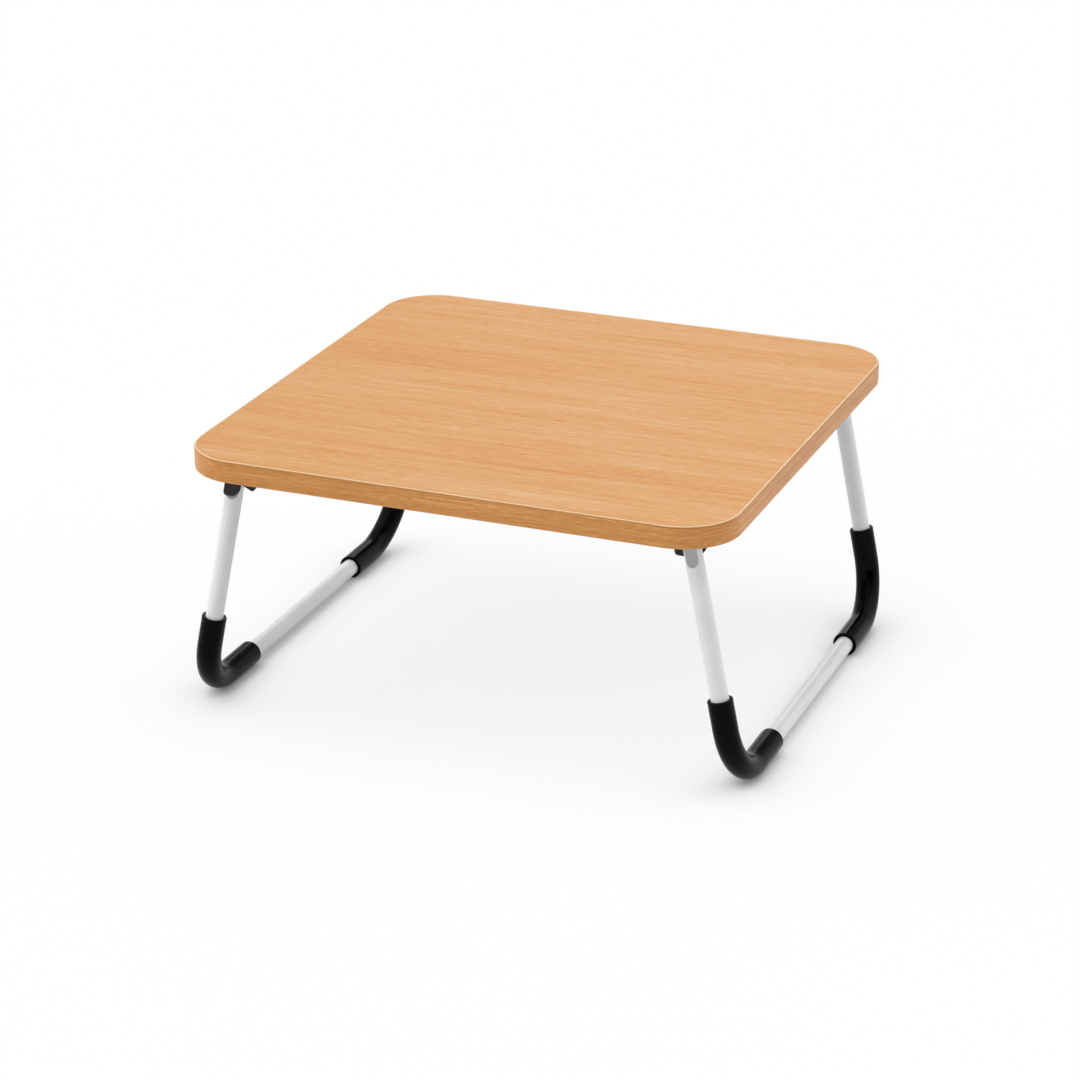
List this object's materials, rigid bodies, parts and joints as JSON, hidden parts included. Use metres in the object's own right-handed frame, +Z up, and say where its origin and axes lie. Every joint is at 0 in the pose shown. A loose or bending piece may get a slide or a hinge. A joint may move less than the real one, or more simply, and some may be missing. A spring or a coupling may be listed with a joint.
{
  "type": "folding breakfast table",
  "caption": "Low folding breakfast table: a square wood-look board with rounded corners on outward-leaning U-shaped tube legs that fold in under it, with soft black sleeves as feet.",
  "frame": {"origin": "on the floor, under the middle of the board", "axes": "+Z up; +X from the left leg frame to the right one, along the board's grain; +Y from the front edge to the back"},
  "size_m": [0.5302, 0.5, 0.257],
  "materials": {
    "board_core": "raw particle board",
    "wood_laminate": "satin wood-grain laminate",
    "backing_laminate": "matt off-white melamine backing",
    "wood_edging": "satin wood-grain edging with a pale arris",
    "white_coating": "semi-gloss white powder coat",
    "black_sleeve": "soft black PVC with a low sheen",
    "black_coating": "satin black paint",
    "plated_steel": "zinc plated",
    "nylon": "natural nylon"
  },
  "bodies": {
    "tabletop": {"tabletop_core": "board_core", "top_laminate": "wood_laminate", "bottom_laminate": "backing_laminate", "edge_band": "wood_edging", "bracket_screws": "plated_steel", "left_front_hinge_bracket": "black_coating", "left_front_pivot_rivet": "black_coating", "left_front_pivot_washer": "nylon", "left_back_hinge_bracket": "black_coating", "left_back_pivot_rivet": "black_coating", "left_back_pivot_washer": "nylon", "right_front_hinge_bracket": "black_coating", "right_front_pivot_rivet": "black_coating", "right_front_pivot_washer": "nylon", "right_back_hinge_bracket": "black_coating", "right_back_pivot_rivet": "black_coating", "right_back_pivot_washer": "nylon"},
    "left_leg_frame": {"left_leg_tube": "white_coating", "left_front_foot_sleeve": "black_sleeve", "left_back_foot_sleeve": "black_sleeve"},
    "right_leg_frame": {"right_leg_tube": "white_coating", "right_front_foot_sleeve": "black_sleeve", "right_back_foot_sleeve": "black_sleeve"}
  },
  "joints": [
    {"name": "left_frame_fold", "type": "hinge", "parent": "tabletop", "child": "left_leg_frame", "pos_m": [-0.2105, 0, 0.2265], "axis": [0, -1, 0], "range_deg": [0, 100.5]},
    {"name": "right_frame_fold", "type": "hinge", "parent": "tabletop", "child": "right_leg_frame", "pos_m": [0.2105, 0, 0.2265], "axis": [0, 1, 0], "range_deg": [0, 94]}
  ]
}
